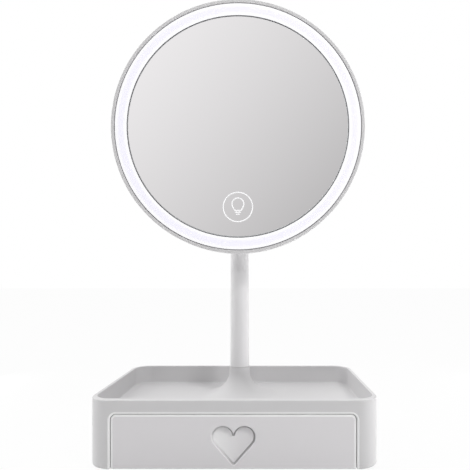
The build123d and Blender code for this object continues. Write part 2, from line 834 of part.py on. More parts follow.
pieces = {
    "base_housing": base_housing,
    "bottom_plate": bottom_plate,
    "bottom_plate_screws": bottom_plate_screws,
    "rubber_feet": rubber_feet,
    "drawer_front": drawer_front,
    "drawer_tray": drawer_tray,
    "drawer_front_screws": drawer_front_screws,
    "stem_tube": stem_tube,
    "stem_washer": stem_washer,
    "stem_screw": stem_screw,
    "stem_knuckle": stem_knuckle,
    "hinge_bracket": hinge_bracket,
    "hinge_bracket_screws": hinge_bracket_screws,
    "hinge_bolt": hinge_bolt,
    "hinge_nut": hinge_nut,
    "hinge_washers": hinge_washers,
    "rear_cover": rear_cover,
    "front_ring": front_ring,
    "light_diffuser": light_diffuser,
    "mirror_glass": mirror_glass,
    "glass_carrier": glass_carrier,
    "led_board": led_board,
    "led_chips": led_chips,
    "control_board": control_board,
    "touch_pad": touch_pad,
    "battery": battery,
    "charge_socket": charge_socket,
    "rear_cover_screws": rear_cover_screws,
}

os.makedirs("parts", exist_ok=True)
for name, piece in pieces.items():
    piece.part.label = name
    export_step(piece.part, f"parts/{name}.step")
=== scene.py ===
"""Lighted vanity mirror with a tray and a drawer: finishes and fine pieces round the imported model.

Laid out as a Blender add-on: property groups with the sizes and colours, one operator for each
piece or group of like pieces, one for the stage, and a panel that lists them.
Lengths are metres.
"""

import math

import bpy
import numpy as np
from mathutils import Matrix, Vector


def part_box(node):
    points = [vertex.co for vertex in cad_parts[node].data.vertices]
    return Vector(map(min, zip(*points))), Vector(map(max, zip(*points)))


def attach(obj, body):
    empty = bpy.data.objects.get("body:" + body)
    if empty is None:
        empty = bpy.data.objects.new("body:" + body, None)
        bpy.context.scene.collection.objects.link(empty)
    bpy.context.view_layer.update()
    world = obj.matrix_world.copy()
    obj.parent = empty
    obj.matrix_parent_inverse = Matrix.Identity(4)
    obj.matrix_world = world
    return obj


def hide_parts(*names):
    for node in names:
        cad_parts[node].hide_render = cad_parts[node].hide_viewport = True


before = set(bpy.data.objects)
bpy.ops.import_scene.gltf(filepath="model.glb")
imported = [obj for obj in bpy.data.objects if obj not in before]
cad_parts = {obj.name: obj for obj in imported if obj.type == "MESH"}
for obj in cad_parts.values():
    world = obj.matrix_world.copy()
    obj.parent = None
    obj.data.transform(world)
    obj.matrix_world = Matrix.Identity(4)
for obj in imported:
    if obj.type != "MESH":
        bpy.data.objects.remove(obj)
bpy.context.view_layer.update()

bl_info = {
    "name": "Vanity Mirror Dresser",
    "version": (1, 0, 0),
    "blender": (4, 5, 0),
    "location": "View3D > Sidebar > Vanity Mirror",
    "description": "Gives the vanity mirror its finishes, light ring, glass, touch icon and studio",
    "category": "Object",
}

MM = 0.001

# The mirror's axis runs along Y through this height
GLASS_LOW, GLASS_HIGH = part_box("mirror_glass")
AXIS_Z = (GLASS_LOW.z + GLASS_HIGH.z) / 2

# Moulded surfaces: width and height of the grain in millimetres, then the roughness
SATIN = (0.9, 0.008, 0.4)
SATIN_RING = (0.9, 0.005, 0.4)
PLAIN = (1.2, 0.014, 0.55)
PLAIN_TRAY = (1.2, 0.014, 0.5)

# The view is a square of this many pixels, shifted by some of them to frame the mirror
VIEW_PIXELS = 470
VIEW_LEFT = 28.3
VIEW_UP = 44.5


# ---- Small tools ---------------------------------------------------------------------------------


def linear(hex_colour):
    """An sRGB hex colour such as "#E6E5E6" as linear red, green, blue and a full alpha."""
    channels = [int(hex_colour[i : i + 2], 16) / 255 for i in (1, 3, 5)]
    curve = [c / 12.92 if c <= 0.04045 else ((c + 0.055) / 1.055) ** 2.4 for c in channels]
    return (*curve, 1.0)


def darker(colour, share):
    """A linear colour with its light cut by a share."""
    return (*[c * (1 - share) for c in colour[:3]], 1.0)


def add_node(tree, kind, settings=None, inputs=None):
    """Add a node, set its properties, and give each input, by name or number, a value or a link."""
    node = tree.nodes.new(kind)
    for name, value in (settings or {}).items():
        setattr(node, name, value)
    for key, value in (inputs or {}).items():
        if isinstance(value, bpy.types.NodeSocket):
            tree.links.new(value, node.inputs[key])
        else:
            node.inputs[key].default_value = value
    return node


def shaded(name, build):
    """A material whose Principled shader gets its inputs from build(tree, object coordinates)."""
    material = bpy.data.materials.new(name)
    material.use_nodes = True
    tree = material.node_tree
    tree.nodes.clear()
    place = add_node(tree, "ShaderNodeTexCoord").outputs["Object"]
    shader = add_node(tree, "ShaderNodeBsdfPrincipled", None, build(tree, place))
    add_node(tree, "ShaderNodeOutputMaterial", None, {"Surface": shader.outputs["BSDF"]})
    return material


def dress(material, *nodes):
    """Give carried-over nodes of the frame a material."""
    for name in nodes:
        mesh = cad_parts[name].data
        mesh.materials.clear()
        mesh.materials.append(material)


def grid_faces(rows, columns, close_rows=False, close_columns=False):
    """Quads of a grid of points, row by row, wrapped round where an edge is closed."""
    r = np.arange(rows if close_rows else rows - 1)
    c = np.arange(columns if close_columns else columns - 1)
    r, c = np.meshgrid(r, c, indexing="ij")
    r2 = (r + 1) % rows
    c2 = (c + 1) % columns
    here, there = r * columns, r2 * columns
    return np.stack([here + c, here + c2, there + c2, there + c], axis=-1).reshape(-1, 4)


def mesh_piece(name, points, faces, material, body, smooth_angle=40.0):
    """A mesh object at the origin that rides on a body of the frame.

    Faces are lists of point numbers. Edges sharper than the angle stay crisp.
    """
    mesh = bpy.data.meshes.new(name)
    mesh.from_pydata(points.tolist(), [], faces)
    mesh.materials.append(material)
    mesh.shade_smooth()
    mesh.set_sharp_from_angle(angle=math.radians(smooth_angle))
    piece = bpy.data.objects.new(name, mesh)
    bpy.context.scene.collection.objects.link(piece)
    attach(piece, body)
    return piece


def turned(profile, segments=384):
    """Closed ring about the mirror's axis from a closed profile of (radius, y) corners.

    Point (i, j) stands at angle 2 pi i / segments, with x = radius * cos(angle) and
    z = axis + radius * sin(angle). The profile runs so that its normals point out of the solid.
    """
    profile = np.asarray(profile, float)
    angle = 2 * np.pi * np.arange(segments) / segments
    x = profile[None, :, 0] * np.cos(angle)[:, None]
    z = AXIS_Z + profile[None, :, 0] * np.sin(angle)[:, None]
    y = np.broadcast_to(profile[None, :, 1], x.shape)
    points = np.stack([x, y, z], axis=-1).reshape(-1, 3)
    faces = grid_faces(segments, len(profile), close_rows=True, close_columns=True)
    return points, faces


def rounded(start, centre, end, count):
    """Points of a quarter-like arc from start to end about a centre, both ends left out."""
    start, centre, end = (np.asarray(p, float) for p in (start, centre, end))
    first = math.atan2(*(start - centre)[::-1])
    last = math.atan2(*(end - centre)[::-1])
    turn = (last - first + math.pi) % (2 * math.pi) - math.pi
    angle = first + turn * np.linspace(0, 1, count + 2)[1:-1]
    radius = np.linalg.norm(start - centre)
    return centre + radius * np.stack([np.cos(angle), np.sin(angle)], axis=1)


# ---- Sizes and colours a user would change -------------------------------------------------------


def length(name, default, description):
    """A length property in metres."""
    return bpy.props.FloatProperty(
        name=name, description=description, default=default, min=0.0, unit="LENGTH"
    )


def colour(name, hex_colour, description):
    """A colour property whose default is an sRGB hex value."""
    return bpy.props.FloatVectorProperty(
        name=name,
        description=description,
        default=linear(hex_colour),
        size=4,
        subtype="COLOR",
        min=0.0,
        max=1.0,
    )


def level(name, default, description):
    """A brightness property; 1 is paper white."""
    return bpy.props.FloatProperty(
        name=name, description=description, default=default, min=0.0, soft_max=2.0
    )


def power(name, default, description):
    """A lamp's power in watts."""
    return bpy.props.FloatProperty(
        name=name, description=description, default=default, min=0.0, unit="POWER"
    )


class VANITY_PG_finishes(bpy.types.PropertyGroup):
    """Colours of the plastics, metals and glass"""

    housing: colour("Housing", "#D9D8D9", "Satin white ABS of the base and head")
    # The stem and the drawer front are the housing's satin white ABS painted lighter, standing in
    # for more light falling on them than on the housing
    stem: colour("Stem", "#E8E7E8", "Satin white ABS of the stem")
    drawer: colour("Drawer front", "#E9E7E9", "Satin white ABS of the drawer front")
    inner: colour("Inner mouldings", "#D4D3D3", "ABS of the drawer tray, plate and carrier")
    metal_paint: colour("Hinge paint", "#D8D8D8", "Powder coat of the hinge castings")
    zinc: colour("Zinc plating", "#B9B9B8", "Screws, bolt, nut and charging socket")
    foot: colour("Feet", "#A9A9A8", "Rubber of the feet")
    # Painted highlight: this lighter colour is laid on the edges round the drawer's opening, on the
    # drawer front's edge and on the heart's left wall, standing in for light caught there
    polish_and_painted_highlight: colour("Polished edge", "#FAFAFA", "Satin ABS where edges and the heart are polished")
    glass: colour("Mirror", "#F2F0F1", "Tint of the silvered glass")
    ground: colour("Ground bevel", "#D0D2D3", "Edge of the glass")
    glow_edge: colour("Glow at the edges", "#FFFFFF", "Light ring close to its two edges")
    glow_middle: colour("Glow in the middle", "#EFEDFD", "Light ring over the row of lights")
    glow: level("Glow strength", 0.58, "Brightness of the light ring")


class VANITY_PG_head(bpy.types.PropertyGroup):
    """Sizes of the bezel, the light ring, the glass's edge and the touch icon"""

    ring_round: length("Bezel round", 0.6 * MM, "Radius of the bezel's outer edge")
    ring_face: length("Bezel face", 2.4 * MM, "Width of the bezel's front, its round included")
    lip: length("Bezel lip", 1.6 * MM, "Thickness of the bezel's front")
    skirt: length("Bezel skirt", 1.4 * MM, "Thickness of the bezel's wall")
    rebate_wall: length("Rebate wall", 1.0 * MM, "Wall left beside the rebate for the rear cover")
    rebate: length("Rebate depth", 1.2 * MM, "Depth of that rebate")
    light_gap: length("Light gap", 0.5 * MM, "Between the glass and the light ring")
    light_width: length("Light width", 9.3 * MM, "Width of the light ring's front")
    light_depth: length("Light depth", 1.7 * MM, "Thickness of the light ring")
    crown: length("Crown", 0.35 * MM, "How far the light ring's front bulges in its middle")
    flange: length("Flange", 1.2 * MM, "Thickness of the light ring's flange and foot")
    bevel: length("Glass bevel", 0.7 * MM, "Width of the bevel round the glass")
    edge_round: length("Edge round", 0.15 * MM, "Radius on the light ring's two front edges")
    icon_drop: length("Icon drop", 64.0 * MM, "From the mirror's centre down to the icon's")
    icon_radius: length("Icon radius", 11.65 * MM, "Middle of the ring's line")
    icon_line: length("Icon line", 0.8 * MM, "Width of every line")
    icon_relief: length("Icon relief", 0.04 * MM, "How far the lines stand off the glass")


class VANITY_PG_front(bpy.types.PropertyGroup):
    """Sizes of the drawer front's outline, its heart and their edges"""

    corner: length("Drawer corner", 3.7 * MM, "Radius of the drawer front's two upper corners")
    gap: length("Gap", 0.45 * MM, "Between the drawer front and its opening")
    # These three widths place painted highlight bands: lighter colour round the opening and on the
    # drawer front's edge, standing in for light caught on the edges
    housing_edge: length("Housing edge", 1.2 * MM, "Width of the polished edge round the opening")
    drawer_edge: length("Drawer edge", 1.2 * MM, "Width of the polished edge of the drawer front")
    edge_fade: length("Edge fade", 0.5 * MM, "Over which the polish of an edge fades out")
    heart_lobe: length("Heart lobe", 7.5 * MM, "Radius of the heart's two lobes")
    heart_spread: length("Heart spread", 7.3 * MM, "From the heart's middle to a lobe's centre")
    heart_point: length("Heart point", 19.4 * MM, "From the lobes' centres down to the point")
    heart_tip: length("Heart tip", 1.7 * MM, "Radius of the heart's rounded point")
    heart_rise: length("Heart rise", 3.1 * MM, "Lobes' centres above the drawer front's middle")
    heart_wall: length("Heart wall", 1.2 * MM, "Width of the heart's sloping wall")
    heart_fall: length("Heart fall", 0.4 * MM, "How far that wall falls at the left")
    heart_scoop: length("Heart scoop", 4.3 * MM, "How much deeper the hollow is at the right")
    heart_high: length("Heart top", 2.4 * MM, "How much deeper the hollow is at the top")


class VANITY_PG_studio(bpy.types.PropertyGroup):
    """Camera and soft light"""

    camera_side: length("Camera offset", 20.15 * MM, "Camera to the right of the mirror's middle")
    camera_distance: length("Camera distance", 289.8 * MM, "Camera in front of the drawer's face")
    camera_height: length("Camera height", 130.0 * MM, "Camera above the table")
    lens: bpy.props.FloatProperty(
        name="Lens", description="Focal length", default=32.94, subtype="DISTANCE_CAMERA"
    )
    left: level("Left", 0.9, "Soft light from the left")
    right: level("Right", 0.35, "Soft light from the right")
    above: level("Above", 1.2, "Soft light from above")
    left_back: level("Left back", 0.6, "Soft light from the left and behind")
    left_high: level("Left back, high", 1.2, "Soft light from the left, behind and above")
    right_back: level("Right back", 0.4, "Soft light from the right and behind")
    top_box: power("Front softbox", 1.5, "Softbox in front, above")
    high_right: power("High right softbox", 2.1, "Softbox in front, high to the right")
    rake_right: power("Right raking light", 0.35, "Low lamp raking across the front face")
    low_left: power("Left strip", 0.28, "Low strip light")
    low_right: power("Right strip", 0.28, "Low strip light")


# ---- Materials -----------------------------------------------------------------------------------


def axis_radius(tree, place):
    """How far a point is from the mirror's axis: the length of (x, z less the axis's height)."""
    split = add_node(tree, "ShaderNodeSeparateXYZ", None, {"Vector": place}).outputs
    rise = add_node(tree, "ShaderNodeMath", {"operation": "SUBTRACT"}, {0: split["Z"], 1: AXIS_Z})
    flat = add_node(tree, "ShaderNodeCombineXYZ", None, {"X": split["X"], "Z": rise.outputs[0]})
    return add_node(
        tree, "ShaderNodeVectorMath", {"operation": "LENGTH"}, {0: flat.outputs["Vector"]}
    ).outputs["Value"]


def outline_distance(tree, place):
    """How far a point is outside the corner centres of the drawer's outline.

    With q = (|x|, z) less the corner centre: the length of q's positive part, plus the larger of
    q's two numbers where both are negative. The drawer's edge is where it equals the corner radius.
    """
    front = bpy.context.scene.vanity_front
    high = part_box("drawer_front")[1]
    split = add_node(tree, "ShaderNodeSeparateXYZ", None, {"Vector": place}).outputs
    side = add_node(tree, "ShaderNodeMath", {"operation": "ABSOLUTE"}, {0: split["X"]})
    across = add_node(
        tree,
        "ShaderNodeMath",
        {"operation": "SUBTRACT"},
        {0: side.outputs[0], 1: high.x - front.corner},
    ).outputs[0]
    up = add_node(
        tree, "ShaderNodeMath", {"operation": "SUBTRACT"}, {0: split["Z"], 1: high.z - front.corner}
    ).outputs[0]
    both = add_node(tree, "ShaderNodeCombineXYZ", None, {"X": across, "Z": up})
    past = add_node(
        tree,
        "ShaderNodeVectorMath",
        {"operation": "MAXIMUM"},
        {0: both.outputs["Vector"], 1: (0.0, 0.0, 0.0)},
    )
    reach = add_node(
        tree, "ShaderNodeVectorMath", {"operation": "LENGTH"}, {0: past.outputs["Vector"]}
    )
    nearer = add_node(tree, "ShaderNodeMath", {"operation": "MAXIMUM"}, {0: across, 1: up})
    within = add_node(
        tree, "ShaderNodeMath", {"operation": "MINIMUM"}, {0: nearer.outputs[0], 1: 0.0}
    )
    return add_node(
        tree,
        "ShaderNodeMath",
        {"operation": "ADD"},
        {0: reach.outputs["Value"], 1: within.outputs[0]},
    ).outputs[0]


def heart_hollow(tree, place):
    """Height of the heart's hollow, and a painted highlight in it.

    A wall falls over a narrow band to a floor that deepens to the right. The painted highlight is a
    lighter colour on the wall that stands in for light caught there, most at the left, fading to
    the right.

    The heart is even about its middle, so |x| stands for x. Seen from a lobe's centre, u runs along
    the heart's straight side towards the point and v out through that side. The distance inside the
    outline is the lobe's radius less the length of (u, v), with u no more than 0 and, past the
    centre, v no less than 0. Between the lobes it is the larger of the lobe's own distance and the
    depth below the cleft. The point stops where its rounding is lowest.

    The floor's depth eases from left to right as 3 t^2 - 2 t^3, plus the fourth power of the
    height, so that the hollow is deepest under the lobes.
    """
    front = bpy.context.scene.vanity_front
    low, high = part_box("drawer_front")
    slope = math.atan2(front.heart_point, front.heart_spread) - math.asin(
        front.heart_lobe / math.hypot(front.heart_spread, front.heart_point)
    )
    centre_z = (low.z + high.z) / 2 + front.heart_rise
    cleft_z = centre_z + math.sqrt(front.heart_lobe**2 - front.heart_spread**2)
    tip_z = centre_z - front.heart_point + front.heart_tip * (1 / math.cos(slope) - 1)
    half = front.heart_spread + front.heart_lobe
    down = (-math.cos(slope), 0.0, -math.sin(slope))
    away = (math.sin(slope), 0.0, -math.cos(slope))
    # So steep that a minimum or a maximum takes the other value on one side of zero
    steep = 50.0

    split = add_node(tree, "ShaderNodeSeparateXYZ", None, {"Vector": place}).outputs
    side = add_node(tree, "ShaderNodeMath", {"operation": "ABSOLUTE"}, {0: split["X"]})
    folded = add_node(tree, "ShaderNodeCombineXYZ", None, {"X": side.outputs[0], "Z": split["Z"]})
    seen = add_node(
        tree,
        "ShaderNodeVectorMath",
        {"operation": "SUBTRACT"},
        {0: folded.outputs["Vector"], 1: (front.heart_spread, 0.0, centre_z)},
    ).outputs["Vector"]
    value = {"z": split["Z"]}
    for name, operation, direction in (
        ("along", "DOT_PRODUCT", down),
        ("out", "DOT_PRODUCT", away),
        ("from centre", "LENGTH", down),
    ):
        value[name] = add_node(
            tree, "ShaderNodeVectorMath", {"operation": operation}, {0: seen, 1: direction}
        ).outputs["Value"]
    bottom, top = centre_z - front.heart_point, centre_z + front.heart_lobe
    for name, ease, source, start, end in (
        ("leftward", "LINEAR", split["X"], half, -half),
        ("bowl", "SMOOTHSTEP", split["X"], -half, half),
        ("upward", "LINEAR", split["Z"], bottom, top),
    ):
        value[name] = add_node(
            tree,
            "ShaderNodeMapRange",
            {"interpolation_type": ease},
            {"Value": source, "From Min": start, "From Max": end},
        ).outputs["Result"]
    for name, operation, first, second in (
        ("u", "MINIMUM", "along", 0.0),
        ("v kept", "MULTIPLY", "u", steep),
        ("v", "MAXIMUM", "out", "v kept"),
        ("u squared", "MULTIPLY", "u", "u"),
        ("v squared", "MULTIPLY", "v", "v"),
        ("squares", "ADD", "u squared", "v squared"),
        ("reach", "POWER", "squares", 0.5),
        ("in outline", "SUBTRACT", front.heart_lobe, "reach"),
        ("in lobe", "SUBTRACT", front.heart_lobe, "from centre"),
        ("below cleft", "SUBTRACT", cleft_z, "z"),
        ("in middle", "MAXIMUM", "in lobe", "below cleft"),
        ("off middle", "MULTIPLY", "out", steep),
        ("near cleft", "MAXIMUM", "in middle", "off middle"),
        ("in heart", "MINIMUM", "in outline", "near cleft"),
        ("above tip", "SUBTRACT", "z", tip_z),
        ("inside", "MINIMUM", "in heart", "above tip"),
        ("wall share", "DIVIDE", "inside", front.heart_wall),
        ("wall below 1", "MINIMUM", "wall share", 1.0),
        ("wall", "MAXIMUM", "wall below 1", 0.0),
        ("upward to 4", "POWER", "upward", 4.0),
        ("top", "MULTIPLY", "upward to 4", -front.heart_high),
        ("scoop", "MULTIPLY", "bowl", -front.heart_scoop),
        ("floor", "ADD", "scoop", "top"),
        ("depth", "SUBTRACT", "floor", front.heart_fall),
        ("height", "MULTIPLY", "wall", "depth"),
        # Painted highlight: a lighter colour on the wall band, strongest at the left, standing in
        # for light from the right
        ("leftward squared", "MULTIPLY", "leftward", "leftward"),
        ("polish_and_painted_highlight", "MULTIPLY", "wall", "leftward squared"),
    ):
        value[name] = add_node(
            tree,
            "ShaderNodeMath",
            {"operation": operation},
            {0: value.get(first, first), 1: value.get(second, second)},
        ).outputs[0]
    return value["height"], value["polish_and_painted_highlight"]


def on_front(tree, place, amount):
    """An amount kept on the front face and let go within the wall behind it."""
    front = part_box("drawer_front")[0].y
    whole, gone = 2.6 * MM, 3.2 * MM
    split = add_node(tree, "ShaderNodeSeparateXYZ", None, {"Vector": place})
    near = add_node(
        tree,
        "ShaderNodeMapRange",
        None,
        {"Value": split.outputs["Y"], "From Min": front + gone, "From Max": front + whole},
    )
    return add_node(
        tree, "ShaderNodeMath", {"operation": "MULTIPLY"}, {0: amount, 1: near.outputs["Result"]}
    ).outputs[0]


def painted_highlight_band(tree, place, start, whole):
    """Painted highlight share that grows from none to all between two distances from the
    drawer's corner centres.
    """
    distance = outline_distance(tree, place)
    return add_node(
        tree, "ShaderNodeMapRange", None, {"Value": distance, "From Min": start, "From Max": whole}
    ).outputs["Result"]


def opening_painted_highlight(tree, place):
    """Painted highlight all round the drawer's opening on the housing, a lighter colour standing in
    for light caught on its edge; it adds no height.
    """
    front = bpy.context.scene.vanity_front
    edge = front.corner + front.gap + front.housing_edge
    return 0.0, on_front(tree, place, painted_highlight_band(tree, place, edge + front.edge_fade, edge))


def drawer_edge_highlight_and_heart(tree, place):
    """Painted highlight on the drawer front's edge and in the heart, most at the heart's left: a
    lighter colour that stands in for light caught there.

    The heart adds its height.
    """
    front = bpy.context.scene.vanity_front
    edge = front.corner - front.drawer_edge
    band = painted_highlight_band(tree, place, edge - front.edge_fade, edge)
    height, gleam = heart_hollow(tree, place)
    polish_and_painted_highlight = add_node(tree, "ShaderNodeMath", {"operation": "MAXIMUM"}, {0: band, 1: gleam})
    return on_front(tree, place, height), on_front(tree, place, polish_and_painted_highlight.outputs[0])


def moulded_abs(name, tint, grain_mm, relief_mm, dull, features=None):
    """Injection-moulded ABS in a spark-eroded mould.

    The eye gets an even, soft sheen with a fine grain, and a slow drift in gloss over a few
    centimetres. The real grain is about 0.1 mm, drawn coarser so that it shows. Features add a
    height and a share of painted highlight: a lighter colour that stands in for light caught on
    edges.
    """

    def build(tree, place):
        fine = add_node(
            tree,
            "ShaderNodeTexNoise",
            None,
            {"Vector": place, "Scale": 1 / (grain_mm * MM), "Detail": 2.0, "Roughness": 0.6},
        )
        drift = add_node(
            tree,
            "ShaderNodeTexNoise",
            None,
            {"Vector": place, "Scale": 1 / (42 * MM), "Detail": 1.0},
        )
        shade = add_node(
            tree,
            "ShaderNodeMix",
            {"data_type": "RGBA"},
            {0: drift.outputs["Fac"], 6: darker(tint, 0.03), 7: tuple(tint)},
        )
        gloss = add_node(
            tree,
            "ShaderNodeMapRange",
            None,
            {"Value": drift.outputs["Fac"], "To Min": dull - 0.05, "To Max": dull + 0.05},
        )
        height = add_node(
            tree,
            "ShaderNodeMath",
            {"operation": "MULTIPLY"},
            {0: fine.outputs["Fac"], 1: relief_mm * MM},
        ).outputs[0]
        tone = shade.outputs[2]
        if features:
            raised, polish_and_painted_highlight = features(tree, place)
            height = add_node(
                tree, "ShaderNodeMath", {"operation": "ADD"}, {0: height, 1: raised}
            ).outputs[0]
            # Painted highlight: the lighter colour mixed in by the features' share
            light = tuple(bpy.context.scene.vanity_finishes.polish_and_painted_highlight)
            tone = add_node(
                tree, "ShaderNodeMix", {"data_type": "RGBA"}, {0: polish_and_painted_highlight, 6: tone, 7: light}
            ).outputs[2]
        relief = add_node(
            tree, "ShaderNodeBump", None, {"Height": height, "Distance": 1.0, "Strength": 1.0}
        )
        return {
            "Base Color": tone,
            "Roughness": gloss.outputs["Result"],
            "Normal": relief.outputs["Normal"],
            "IOR": 1.52,
        }

    return shaded(name, build)


def lit_acrylic(name, look, head):
    """Frosted acrylic lit from behind.

    The front glows white at both edges and a cool lilac in the middle, over the row of lights.
    The side walls are in the dark of the gaps beside them and don't glow.
    """
    front_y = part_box("light_diffuser")[0].y
    front_depth = 0.5 * MM
    inner = GLASS_HIGH.x + head.light_gap
    edge_shares = (0.12, 0.88)
    middle_shares = (0.34, 0.62)

    def build(tree, place):
        across = add_node(
            tree,
            "ShaderNodeMapRange",
            None,
            {
                "Value": axis_radius(tree, place),
                "From Min": inner,
                "From Max": inner + head.light_width,
            },
        )
        ramp = add_node(tree, "ShaderNodeValToRGB", None, {"Fac": across.outputs["Result"]})
        ramp.color_ramp.interpolation = "EASE"
        stops = ramp.color_ramp.elements
        for stop, share in zip(stops, edge_shares):
            stop.position, stop.color = share, tuple(look.glow_edge)
        for share in middle_shares:
            stops.new(share).color = tuple(look.glow_middle)
        split = add_node(tree, "ShaderNodeSeparateXYZ", None, {"Vector": place})
        front = add_node(
            tree,
            "ShaderNodeMath",
            {"operation": "LESS_THAN"},
            {0: split.outputs["Y"], 1: front_y + front_depth},
        )
        glow = add_node(
            tree,
            "ShaderNodeMix",
            {"data_type": "RGBA"},
            {0: front.outputs[0], 6: (0.0, 0.0, 0.0, 1.0), 7: ramp.outputs["Color"]},
        )
        return {
            "Base Color": linear("#BDBCC0"),
            "Roughness": 0.5,
            "IOR": 1.49,
            "Emission Color": glow.outputs[2],
            "Emission Strength": look.glow,
        }

    return shaded(name, build)


def silvered_glass(name, tint, ground_tint, bevel):
    """Float glass with silver behind it, and a ground bevel round its edge.

    The face is a clean mirror with a trace of unevenness. The bevel is a dull grey line.
    """
    clear = GLASS_HIGH.x - bevel
    blur = 0.02 * MM

    def build(tree, place):
        ground = add_node(
            tree,
            "ShaderNodeMapRange",
            None,
            {"Value": axis_radius(tree, place), "From Min": clear - blur, "From Max": clear + blur},
        )
        film = add_node(
            tree,
            "ShaderNodeTexNoise",
            None,
            {"Vector": place, "Scale": 1 / (55 * MM), "Detail": 1.0},
        )
        polish_and_painted_highlight = add_node(
            tree,
            "ShaderNodeMapRange",
            None,
            {"Value": film.outputs["Fac"], "To Min": 0.015, "To Max": 0.045},
        )
        dull = add_node(
            tree,
            "ShaderNodeMix",
            {"data_type": "FLOAT"},
            {0: ground.outputs["Result"], 2: polish_and_painted_highlight.outputs["Result"], 3: 0.5},
        )
        tone = add_node(
            tree,
            "ShaderNodeMix",
            {"data_type": "RGBA"},
            {0: ground.outputs["Result"], 6: tuple(tint), 7: tuple(ground_tint)},
        )
        silver = add_node(
            tree, "ShaderNodeMath", {"operation": "SUBTRACT"}, {0: 1.0, 1: ground.outputs["Result"]}
        )
        return {
            "Base Color": tone.outputs[2],
            "Metallic": silver.outputs[0],
            "Roughness": dull.outputs[0],
        }

    return shaded(name, build)


def grained(tree, place, grain_mm, detail, relief_mm, hollow, raised):
    """Cloudy grain that shows in the tone and as relief: its share, its tone and its normal."""
    grain = add_node(
        tree,
        "ShaderNodeTexNoise",
        None,
        {"Vector": place, "Scale": 1 / (grain_mm * MM), "Detail": detail},
    ).outputs["Fac"]
    tone = add_node(tree, "ShaderNodeMix", {"data_type": "RGBA"}, {0: grain, 6: hollow, 7: raised})
    relief = add_node(
        tree,
        "ShaderNodeBump",
        None,
        {"Height": grain, "Distance": relief_mm * MM, "Strength": 1.0},
    )
    return grain, tone.outputs[2], relief.outputs["Normal"]


def zinc_plate(name, tint):
    """Steel with bright zinc plating: a metal sheen, slightly clouded, with fine tumbling marks."""

    def build(tree, place):
        cloud, tone, normal = grained(tree, place, 1.6, 3.0, 0.01, darker(tint, 0.14), tuple(tint))
        gloss = add_node(
            tree, "ShaderNodeMapRange", None, {"Value": cloud, "To Min": 0.22, "To Max": 0.38}
        )
        return {
            "Base Color": tone,
            "Metallic": 1.0,
            "Roughness": gloss.outputs["Result"],
            "Normal": normal,
        }

    return shaded(name, build)


def powder_coat(name, tint):
    """White powder coat on a zinc casting: glossy, with the faint swell of orange peel."""

    def build(tree, place):
        _, tone, normal = grained(tree, place, 1.3, 1.0, 0.03, darker(tint, 0.04), tuple(tint))
        return {
            "Base Color": tone,
            "Roughness": 0.34,
            "Coat Weight": 0.3,
            "Coat Roughness": 0.12,
            "Normal": normal,
        }

    return shaded(name, build)


def textured_solid(name, tint, grain_mm, relief_mm, spread, rough):
    """Small parts of one stuff: foam, rubber, nylon, board or phosphor, each with its own grain.

    The spread is the share by which the grain's hollows are darker.
    """

    def build(tree, place):
        hollow = darker(tint, spread)
        _, tone, normal = grained(tree, place, grain_mm, 3.0, relief_mm, hollow, tuple(tint))
        return {"Base Color": tone, "Roughness": rough, "Normal": normal}

    return shaded(name, build)


def pouch_foil(name):
    """Aluminium laminate of a pouch cell: dull metal, slightly rumpled."""

    def build(tree, place):
        _, tone, normal = grained(tree, place, 9.0, 2.0, 0.15, linear("#B2B4B7"), linear("#C8CACD"))
        return {"Base Color": tone, "Metallic": 1.0, "Roughness": 0.42, "Normal": normal}

    return shaded(name, build)


def lit_print(name):
    """Window in the silvering with a light behind it: even, slightly soft white."""

    def build(tree, place):
        cloud = add_node(
            tree,
            "ShaderNodeTexNoise",
            None,
            {"Vector": place, "Scale": 1 / (1.0 * MM), "Detail": 2.0},
        )
        shade = add_node(
            tree,
            "ShaderNodeMix",
            {"data_type": "RGBA"},
            {0: cloud.outputs["Fac"], 6: linear("#DADADC"), 7: linear("#E4E4E6")},
        )
        return {
            "Base Color": shade.outputs[2],
            "Roughness": 0.4,
            "Emission Color": linear("#FFFFFF"),
            "Emission Strength": 0.4,
        }

    return shaded(name, build)


# ---- Operators -----------------------------------------------------------------------------------


class VANITY_OT_dress_base(bpy.types.Operator):
    """Finish the housing, stem, bottom plate, feet and their screws"""

    bl_idname = "vanity.dress_base"
    bl_label = "Dress the Base"

    def execute(self, context):
        look = context.scene.vanity_finishes
        # The housing's material carries a painted highlight round the drawer's opening
        satin = moulded_abs("ABS_satin_white_housing", look.housing, *SATIN, opening_painted_highlight)
        dress(satin, "base_housing")
        dress(moulded_abs("ABS_satin_white_stem", look.stem, *SATIN), "stem_tube")
        dress(moulded_abs("ABS_plain_white_plate", look.inner, *PLAIN), "bottom_plate")
        rubber = textured_solid("Rubber_moulded_grey", look.foot, 0.5, 0.03, 0.15, 0.85)
        dress(rubber, "rubber_feet")
        zinc = zinc_plate("Zinc_plate_base", look.zinc)
        dress(zinc, "bottom_plate_screws", "stem_screw", "stem_washer")
        dress(powder_coat("Powder_coat_white_knuckle", look.metal_paint), "stem_knuckle")
        return {"FINISHED"}


class VANITY_OT_dress_drawer(bpy.types.Operator):
    """Finish the drawer's front, tray and screws"""

    bl_idname = "vanity.dress_drawer"
    bl_label = "Dress the Drawer"

    def execute(self, context):
        look = context.scene.vanity_finishes
        # The drawer front's material carries a painted highlight on its edge and in the heart
        satin = moulded_abs("ABS_satin_white_drawer", look.drawer, *SATIN, drawer_edge_highlight_and_heart)
        dress(satin, "drawer_front")
        dress(moulded_abs("ABS_plain_white_tray", look.inner, *PLAIN_TRAY), "drawer_tray")
        dress(zinc_plate("Zinc_plate_drawer", look.zinc), "drawer_front_screws")
        return {"FINISHED"}


